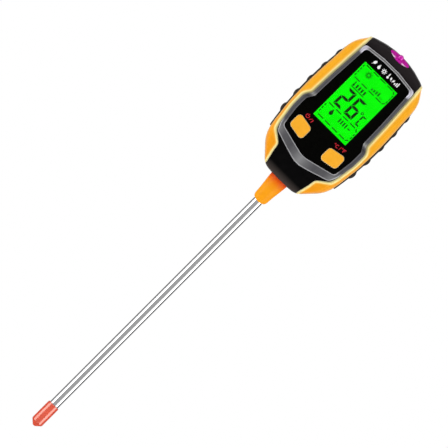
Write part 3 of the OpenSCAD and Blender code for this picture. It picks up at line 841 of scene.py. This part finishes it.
def segment_shapes(glyph, x, z, w, h, t, gap):
    """Seven-segment strokes t wide with mitred ends; x, z is the glyph's lower left corner."""
    flat_end = [(gap, 0), (w - gap, 0), (w - t - gap, t), (t + gap, t)]
    middle = [(gap, 0), (t + gap, t / 2), (w - t - gap, t / 2), (w - gap, 0),
              (w - t - gap, -t / 2), (t + gap, -t / 2)]
    upright = [(0, h / 2 - gap), (0, gap), (t, t / 2 + gap), (t, h / 2 - t - gap)]
    strokes = {
        "a": [(x + u, z + h - v) for u, v in flat_end],
        "d": [(x + u, z + v) for u, v in flat_end],
        "g": [(x + u, z + h / 2 + v) for u, v in middle],
        "f": [(x + u, z + h / 2 + v) for u, v in upright],
        "b": [(x + w - u, z + h / 2 + v) for u, v in upright],
        "e": [(x + u, z + h / 2 - v) for u, v in upright],
        "c": [(x + w - u, z + h / 2 - v) for u, v in upright],
    }
    return [strokes[key] for key in SEGMENTS[glyph]]


def dashed(x0, z0, x1, z1, dash, gap, width):
    """A dashed line, whole dashes from its middle out."""
    length = math.hypot(x1 - x0, z1 - z0)
    count = max(1, int((length + gap) / (dash + gap)))
    start = (length - count * dash - (count - 1) * gap) / 2
    ux, uz = (x1 - x0) / length, (z1 - z0) / length
    shapes = []
    for i in range(count):
        a = start + i * (dash + gap)
        shapes.append(bar(x0 + ux * a, z0 + uz * a, x0 + ux * (a + dash), z0 + uz * (a + dash), width))
    return shapes


def dashed_frame(z0, z1, half, cut):
    """A dashed box with cut corners on its right side."""
    shapes = []
    for z in (z0, z1):
        shapes += dashed(-half + 0.6, z, half - cut, z, 4.4, 1.7, LINE)
    shapes += dashed(-half, z0 + 0.8, -half, z1 - 0.8, 1.5, 0.9, LINE)
    shapes += dashed(half + 0.3, z0 + cut, half + 0.3, z1 - cut, 1.5, 0.9, LINE)
    shapes.append(bar(half - cut + 0.5, z1, half + 0.2, z1 - cut + 0.4, LINE))
    shapes.append(bar(half - cut + 0.5, z0, half + 0.2, z0 + cut - 0.4, LINE))
    return shapes


def sun_shapes(cx, cz, r, line):
    """A ring with eight rays."""
    shapes = ring_shapes(cx, cz, r * 0.5, line)
    for k in range(8):
        c, s = math.cos(math.pi * k / 4), math.sin(math.pi * k / 4)
        shapes.append(bar(cx + c * r * 0.76, cz + s * r * 0.76, cx + c * r, cz + s * r, line))
    return shapes


def drop_outline(cx, cz, r):
    """A water drop, its point up."""
    points = arc(cx, cz, r, 150, 390, 20)
    points.append((cx, cz + r * 2.3))
    return [points]


def thermometer_shapes(cx, cz, h):
    """A bulb with an upright tube."""
    shapes = [arc(cx, cz - h * 0.3, h * 0.22, 0, 342, 19)]
    shapes.append(bar(cx, cz - h * 0.06, cx, cz + h * 0.5, h * 0.2))
    return shapes


def level_shapes(x, z, count, pitch, width, h, grow=0.0):
    """A row of upright bars, each taller than the last by grow."""
    return [bar(x + i * pitch, z, x + i * pitch, z + h + grow * i, width) for i in range(count)]


def slanted(shapes, z0):
    """Shapes leaning to the right above height z0."""
    return [[(x + (z - z0) * SLANT, z) for x, z in shape] for shape in shapes]


def reading_shapes(mid, z):
    """The number on the display: two large digits, the degree sign and a C."""
    shapes = segment_shapes("2", mid - 10.4, z, DIGIT_W, DIGIT_H, STROKE, 0.2)
    shapes += segment_shapes("6", mid - 1.4, z, DIGIT_W, DIGIT_H, STROKE, 0.2)
    shapes += segment_shapes("C", mid + 8.5, z, 3.3, 7.4, 0.95, 0.12)
    shapes += ring_shapes(mid + 7.2, z + 7.9, 0.72, 0.5, steps=12)
    return slanted(shapes, z)


def display_shapes(low, mid):
    """Every dark mark on the display, upwards from height low and about the centre line mid."""
    shapes = dashed_frame(low + 34.9, low + 45.3, 12.9, 1.8)
    shapes += dashed_frame(low + 2.7, low + 12.4, 12.9, 1.8)
    shapes += sun_shapes(mid - 6.4, low + 41.6, 2.3, 0.62)
    shapes += level_shapes(mid + 1.2, low + 36.2, 4, 1.75, 0.9, 1.3, 0.45)
    shapes += level_shapes(mid + 8.3, low + 36.2, 2, 1.2, 0.6, 0.6)
    shapes.append(bar(mid - 9.7, low + 29.6, mid + 0.8, low + 29.6, 0.5))
    shapes += thermometer_shapes(mid - 9.0, low + 31.9, 3.3)
    shapes += level_shapes(mid - 6.6, low + 30.4, 4, 2.1, 1.1, 2.5)
    shapes += reading_shapes(mid, low + 14.1)
    shapes += drop_outline(mid - 6.6, low + 8.5, 1.3)
    shapes += level_shapes(mid + 0.6, low + 7.6, 4, 1.8, 0.85, 2.9)
    shapes.append(bar(mid + 7.6, low + 9.0, mid + 9.4, low + 9.0, 0.7))
    return shapes


def display(looks):
    """The glowing glass and the dark marks on it."""
    refined("lcd_front_glass", "lcd_screen", lcd_glow(), "lcd_glass", 0.2)
    low, high = box_mm("display_window")
    front_y = box_mm("lcd_front_glass")[0].y
    shapes = display_shapes(low.z - MARKS_DROP, (low.x + high.x) / 2)
    printed("lcd_segments", shapes, front_y, 0.03, looks["lcd_ink"], "lcd_ink")


# ---- Printed marks on the face ----
def leaf_shape(cx, cz, r):
    """A pointed leaf with its stem."""
    right = arc(cx - r * 0.6, cz, r * 1.17, -59, 59, 12)
    left = arc(cx + r * 0.6, cz, r * 1.17, 121, 239, 12)
    return [right + left[1:-1], bar(cx, cz - r * 1.55, cx, cz - r, r * 0.2)]


def pictograms(z, height):
    """Leaf, drop, sun, thermometer, sprout and scale in a row, centred at height z."""
    r = height / 2
    shapes = turned(leaf_shape(0, r * 0.15, r * 0.95), -9.4, z, -30)
    shapes += drop_outline(-5.5, z - r * 0.35, r * 0.62)
    shapes += sun_shapes(-1.3, z, r * 1.1, 0.55)
    shapes += thermometer_shapes(2.6, z, height * 1.1)
    shapes += turned(leaf_shape(-r * 0.62, r * 0.2, r * 0.62), 6.0, z, 25)
    shapes += turned(leaf_shape(r * 0.62, r * 0.2, r * 0.62), 6.0, z, -25)
    shapes += level_shapes(8.6, z - r * 0.95, 3, 1.15, 0.75, height * 0.4, height * 0.28)
    return shapes


def power_mark():
    """Standby ring with its upright bar, and a short bar for on."""
    shapes = ring_shapes(-1.5, -0.1, 1.15, 0.52, 128, 412, 18)
    strokes = [bar(-1.5, 0.1, -1.5, 1.6, 0.5), bar(0.7, -0.95, 1.9, 1.15, 0.42)]
    return shapes + strokes + [bar(2.9, -1.2, 2.9, 1.2, 0.55)]


def unit_mark():
    """Degree C, a slash and degree F, made of strokes."""
    shapes = ring_shapes(-4.1, 0.85, 0.36, 0.32, steps=10)
    shapes += ring_shapes(-2.2, 0.0, 0.95, 0.5, 50, 310, 14)
    shapes.append(bar(-0.45, -1.15, 0.35, 1.15, 0.42))
    shapes += ring_shapes(1.35, 0.85, 0.36, 0.32, steps=10)
    shapes.append(bar(2.45, -1.2, 2.45, 1.1, 0.5))
    return shapes + [bar(2.7, 0.86, 4.1, 0.86, 0.48), bar(2.7, 0.0, 3.7, 0.0, 0.44)]


PRINT_T = 0.04   # thickness of the print
MARK_RISE = 7.7  # of the labels above the buttons' centres


def face_prints(looks):
    """The row of pictograms over the display and the label over each button."""
    face_low, face_high = box_mm("faceplate")
    line_z = (box_mm("display_window")[1].z + face_high.z) / 2
    left, right = centre_mm("power_button"), centre_mm("unit_button")
    power = turned(power_mark(), left.x + 0.1, left.z + MARK_RISE, -10)
    unit = turned(unit_mark(), right.x - 0.9, right.z + MARK_RISE, 10)
    for name, shapes, slot in (("face_pictograms", pictograms(line_z, 3.2), "white_print"),
                               ("power_mark", power, "red_print"), ("unit_mark", unit, "red_print")):
        printed(name, shapes, face_low.y, PRINT_T, looks[slot], slot)


# ---- Probe, collar and cap ----
SCOOP_R = 6.5      # radius of the collar's lower edge, seen from the front
SCOOP_DROP = 0.45  # how far its middle reaches below the collar's end plane
SCOOP_END = 3.0    # height above which the collar is round again
STEM_R = 5.1       # the collar's stem through the shell
FLANGE_R = 7.0     # and the flange that holds it inside
FLANGE_T = 1.4
CHAMFER = 0.15     # of the tube's ends
CAP_CONE = 3.0     # length of the cap's conical end
CAP_POINT = 0.8    # its radius at the very end, before rounding
TIP_R = 1.2
SHOULDER_R = 1.5


def probe(material):
    """Polished tube with a chamfered lower end; the wall is as in the CAD."""
    low, high = box_mm("probe_tube")
    r = high.x
    neck_r = r - 0.2
    bore = r - 0.8
    profile = [(bore, low.z), (r - CHAMFER, low.z), (r, low.z + CHAMFER), (r, -0.01), (neck_r, -0.01),
               (neck_r, high.z - CHAMFER), (neck_r - CHAMFER, high.z), (bore, high.z)]
    obj = lathe("probe_tube_polished", profile, material, 128)
    place(obj, ROOT, "probe_steel", "probe_tube")


def red_cap(material):
    """Vinyl cap with a rolled lip and a blunt conical end."""
    low, high = box_mm("tip_cap")
    tip_low, tip_high = box_mm("sensing_tip")
    r = high.x
    shoulder = low.z + CAP_CONE
    slope = math.atan2(CAP_CONE, r - CAP_POINT)
    lean = math.pi / 2 - slope
    turn = -math.degrees(lean)
    profile = [(0.0, low.z)]
    profile += arc(CAP_POINT - TIP_R * math.tan(slope / 2), low.z + TIP_R, TIP_R, -88, turn, 5)
    profile += arc(r - SHOULDER_R, shoulder + SHOULDER_R * math.tan(lean / 2), SHOULDER_R, turn, 0, 6)
    profile += [(r, high.z - 0.5), (r - 0.12, high.z - 0.15), (r - 0.35, high.z)]
    bore = tip_high.x + 0.25
    inner_end = tip_low.z - 0.3
    profile += [(bore + 0.1, high.z), (bore, high.z - 0.1)]
    profile += [(bore, inner_end + 2.4), (1.1, inner_end), (0.0, inner_end)]
    obj = lathe("tip_cap_vinyl", profile, material, 96)
    place(obj, "tip_cap", "cap_red", "tip_cap")


def collar_profile(bore, seat_z, top_z):
    """Half section of the collar: rounded lower end, bell-shaped flank, stem and inner flange."""
    flank = [(4.05, 0.0), (4.42, 0.25), (4.66, 0.8), (4.84, 1.6), (4.96, 2.6), (5.07, 4.2),
             (5.25, 6.4), (5.45, 8.4), (5.70, 10.4), (5.96, 12.6), (6.26, 14.8), (6.55, seat_z - 0.5),
             (6.6, seat_z - 0.1), (6.55, seat_z)]
    stem = [(STEM_R, seat_z), (STEM_R, top_z - FLANGE_T)]
    flange = [(FLANGE_R, top_z - FLANGE_T), (FLANGE_R, top_z), (bore, top_z)]
    return [(bore, 0.0)] + flank + stem + flange


def collar(material, head_z):
    """The neck collar; its lower end is scooped so that it reaches lowest in the middle."""
    bore = box_mm("probe_tube")[1].x - 0.15
    profile = collar_profile(bore, head_z + 0.2, box_mm("neck_collar")[1].z)
    obj = lathe("neck_cone", profile, material, 128)
    for vert in obj.data.vertices:
        fade = max(0.0, 1.0 - vert.co.z / (SCOOP_END * MM))
        across = vert.co.x / MM
        vert.co.z += (across * across / (2 * SCOOP_R) - SCOOP_DROP) * fade * MM
    place(obj, ROOT, "collar_orange", "neck_collar")


def build_neck(looks):
    head_z = box_mm("front_housing")[0].z
    collar(collar_orange(box_mm("neck_collar")[0].z, head_z + 0.6), head_z)
    probe(looks["steel"])
    red_cap(cap_vinyl())


# ---- Back of the head ----
RIDGE_Z = 12         # depth of the first ridge below the battery door's upper end
RIDGE_PITCH = 2.4
RIDGE_W = 15         # width of the first ridge,
RIDGE_TAPER = 1.4    # and how much narrower each of the others is than the last
ARROW_Z = 26.0       # depth of the arrow's base
ARROW_H = 3.2        # its height, and half its width


def rounded_bar(cx, cz, w, h, steps=6):
    """Outline of a horizontal bar with round ends."""
    r = h / 2
    return arc(cx + w / 2 - r, cz, r, -90, 90, steps) + arc(cx - w / 2 + r, cz, r, 90, 270, steps)


def door_ridges(material):
    """Thumb ridges and an arrow on the battery door."""
    high = box_mm("battery_door")[1]
    shapes = [rounded_bar(0, high.z - RIDGE_Z - RIDGE_PITCH * i, RIDGE_W - RIDGE_TAPER * i, 1.1)
              for i in range(5)]
    arrow_z = high.z - ARROW_Z
    shapes.append([(-ARROW_H, arrow_z), (ARROW_H, arrow_z), (0, arrow_z - ARROW_H)])
    obj = printed("door_thumb_ridges", shapes, high.y - 0.1, 0.5, material, "black_abs", "battery_door", 1)
    soften(obj, 0.15, 2, 40)


# ---- Assembly ----
def build_head(looks):
    shell = looks["shell"]
    low, high = box_mm("front_housing")
    refined("front_housing", "front_shell", front_shell(low.z, high.z), "black_abs", 0.35)
    refined("rear_housing", "rear_shell", shell, "black_abs", 0.35)
    low, high = box_mm("left_side_panel")
    orange = orange_panel(low.z, high.z)
    grip = grip_rubber()
    for side, name in ((-1, "left"), (1, "right")):
        side_panel(name + "_side_panel", name + "_panel", side, orange)
        refined(name + "_grip", name + "_grip_rubber", grip, "grip_rubber", 0.7, 3)
    low, high = box_mm("bezel")
    bezel(bezel_metal(low.z, high.z))
    refined("faceplate", "face_plate", gloss_black(), "gloss_black", 0.2)
    refined("display_window", "window_pane", clear_window(), "clear_window", 0.15)
    lens = lens_magenta(box_mm("light_sensor_lens")[1].z)
    refined("light_sensor_lens", "sensor_lens", lens, "magenta_lens", 0.5, 3)
    refined("battery_door", "door_panel", shell, "black_abs", 0.3, body="battery_door")
    refined("housing_screws", "case_screws", looks["zinc_screw"], "zinc_screw", 0.12)
    door_ridges(shell)


def build_buttons():
    silicone = button_plastic(box_mm("power_button")[0].y)
    for name in ("power", "unit"):
        button = name + "_button"
        refined(button, name + "_key", silicone, "button_silicone", 0.6, 4, 50, button)


# CAD nodes that keep their own shape and body, by their look.
CARRIED = {
    "carbon": ["power_contact", "unit_contact", "contact_strip", "insulator_ring"],
    "light_guide": ["lcd_rear_glass", "backlight_guide"],
    "chip_epoxy": ["controller_chip", "amplifier_chip", "probe_clamp"],
    "zinc_screw": ["timing_crystal", "pcb_screws", "clamp_screws"],
    "seal_rubber": ["neck_seal", "snap_connector"], "grey_silicone": ["keypad_mat"],
    "white_plastic": ["lcd_frame"], "led": ["backlight_leds"], "board": ["main_pcb"],
    "capacitor_sleeve": ["pcb_capacitors"], "sensor_epoxy": ["light_sensor"],
    "tip_metal": ["sensing_tip"], "bead_epoxy": ["temperature_sensor"], "grey_wire": ["probe_lead"],
    "brass_contact": ["battery_terminals"], "red_wire": ["battery_lead_red"],
    "black_wire": ["battery_lead_black"], "foam": ["battery_pad"],
}


def build_inside(looks):
    """The battery, and the carried-over nodes in their looks."""
    low, high = box_mm("battery")
    refined("battery", "battery_can", battery_can(low.z, high.z), "battery_case", 0.8, 3)
    for look, nodes in CARRIED.items():
        for node in nodes:
            materials = NODES[node].data.materials
            materials.clear()
            materials.append(looks[look])


# ---- Studio ----
STAND_OFF = 2.6   # camera to face, in metres
FIELD = 0.2778    # width of the picture at the face, in metres
AIM_X = -4.75     # the picture's centre, from the probe's axis
AIM_Z = -25.33    # and from the collar's lower end
CAP_REACH = 47.0  # what the pulled-off cap needs below the object
FLOOR_R = 0.45    # in metres
# Soft boxes: azimuth, elevation, distance and size in metres, radiance.
SOFTBOXES = {
    "softbox_left": (-66, 0, 1.0, (0.73, 2.0), 2.45),
    "softbox_right": (66, 0, 1.0, (0.73, 2.0), 2.45),
    "softbox_top": (0, 70, 1.1, (0.8, 0.6), 2.0),
    "softbox_back": (180, 25, 1.2, (0.9, 0.5), 1.6),
}


def studio_camera():
    """Level view of the face, rolled so that the probe runs from lower left to upper right."""
    face_y = box_mm("front_housing")[0].y
    aim = Vector((AIM_X, face_y, AIM_Z)) * MM
    right, up, back = Vector((1, 0, 1)), Vector((-1, 0, 1)), Vector((0, -1, 0))
    turn = Matrix((right.normalized(), up.normalized(), back)).transposed().to_4x4()
    data = bpy.data.cameras.new("camera")
    data.lens = data.sensor_width * STAND_OFF / FIELD
    data.clip_end = 20
    camera = in_scene("camera", data)
    camera.matrix_world = Matrix.Translation(aim + back * STAND_OFF) @ turn
    bpy.context.scene.camera = camera


def area_light(name, azimuth, elevation, distance, size, radiance, middle):
    """A soft box aimed at the middle; azimuth 0 is in front and grows towards +X."""
    data = bpy.data.lights.new(name, "AREA")
    data.shape = "RECTANGLE"
    data.size, data.size_y = size
    data.energy = radiance * math.pi * size[0] * size[1]
    light = in_scene(name, data)
    a, e = math.radians(azimuth), math.radians(elevation)
    away = Vector((math.sin(a) * math.cos(e), -math.cos(a) * math.cos(e), math.sin(e)))
    light.location = middle + away * distance
    light.rotation_euler = away.to_track_quat("Z", "Y").to_euler()


# The world's nodes, and its wires: node, output, node, input.
WORLD_NODES = {"coords": "TexCoord", "split": "SeparateXYZ", "spread": "MapRange", "ramp": "ValToRGB",
               "room": "Background", "paper": "Background", "path": "LightPath", "chosen": "MixShader",
               "out": "OutputWorld"}
WORLD_WIRES = (("coords", "Generated", "split", "Vector"), ("split", "Y", "spread", "Value"),
               ("spread", "Result", "ramp", "Fac"), ("ramp", "Color", "room", "Color"),
               ("path", "Is Camera Ray", "chosen", 0), ("room", "Background", "chosen", 1),
               ("paper", "Background", "chosen", 2), ("chosen", "Shader", "out", "Surface"))
# Brightness of the room, from in front of the object (0) to behind it (1).
ROOM = ((0.0, 0.40), (0.25, 0.35), (0.62, 0.17), (0.85, 0.20), (1.0, 0.48))


def studio_world():
    """White to the camera; to the object, a grey room that is brighter in front and behind."""
    world = bpy.data.worlds.new("studio")
    world.use_nodes = True
    bpy.context.scene.world = world
    tree = world.node_tree
    tree.nodes.clear()
    nodes = {name: tree.nodes.new("ShaderNode" + kind) for name, kind in WORLD_NODES.items()}
    nodes["spread"].inputs["From Min"].default_value = -1.0
    nodes["paper"].inputs["Color"].default_value = (1, 1, 1, 1)
    set_stops(nodes["ramp"].color_ramp, [(position, grey(level)) for position, level in ROOM])
    for source, output, target, socket in WORLD_WIRES:
        tree.links.new(nodes[source].outputs[output], nodes[target].inputs[socket])


def studio_floor(low):
    """Pale round floor, low enough that the cap still clears it when it is pulled off."""
    look = Look("floor", Roughness=0.9, Specular_IOR_Level=0.0)
    look.mottle(grey(0.93), grey(0.95), 0.02)
    look.set("Emission Color", (1.0, 1.0, 1.0))
    look.set("Emission Strength", 0.4)
    bm = bmesh.new()
    bmesh.ops.create_circle(bm, cap_ends=True, radius=FLOOR_R, segments=96)
    floor = add_object("floor", to_mesh("floor", bm), look.mat)
    floor.location.z = low.z - CAP_REACH * MM
    floor.visible_glossy = False


def build_studio():
    low, high = Vector(CAD_BOX[0]), Vector(CAD_BOX[1])
    middle = (low + high) / 2
    middle.x = 0
    studio_camera()
    studio_world()
    studio_floor(low)
    for name, values in SOFTBOXES.items():
        area_light(name, *values, middle)
    view = bpy.context.scene.view_settings
    view.view_transform = "Standard"
    view.look = "None"


def build():
    looks = make_looks()
    build_head(looks)
    build_buttons()
    display(looks)
    face_prints(looks)
    build_neck(looks)
    build_inside(looks)
    build_studio()


build()
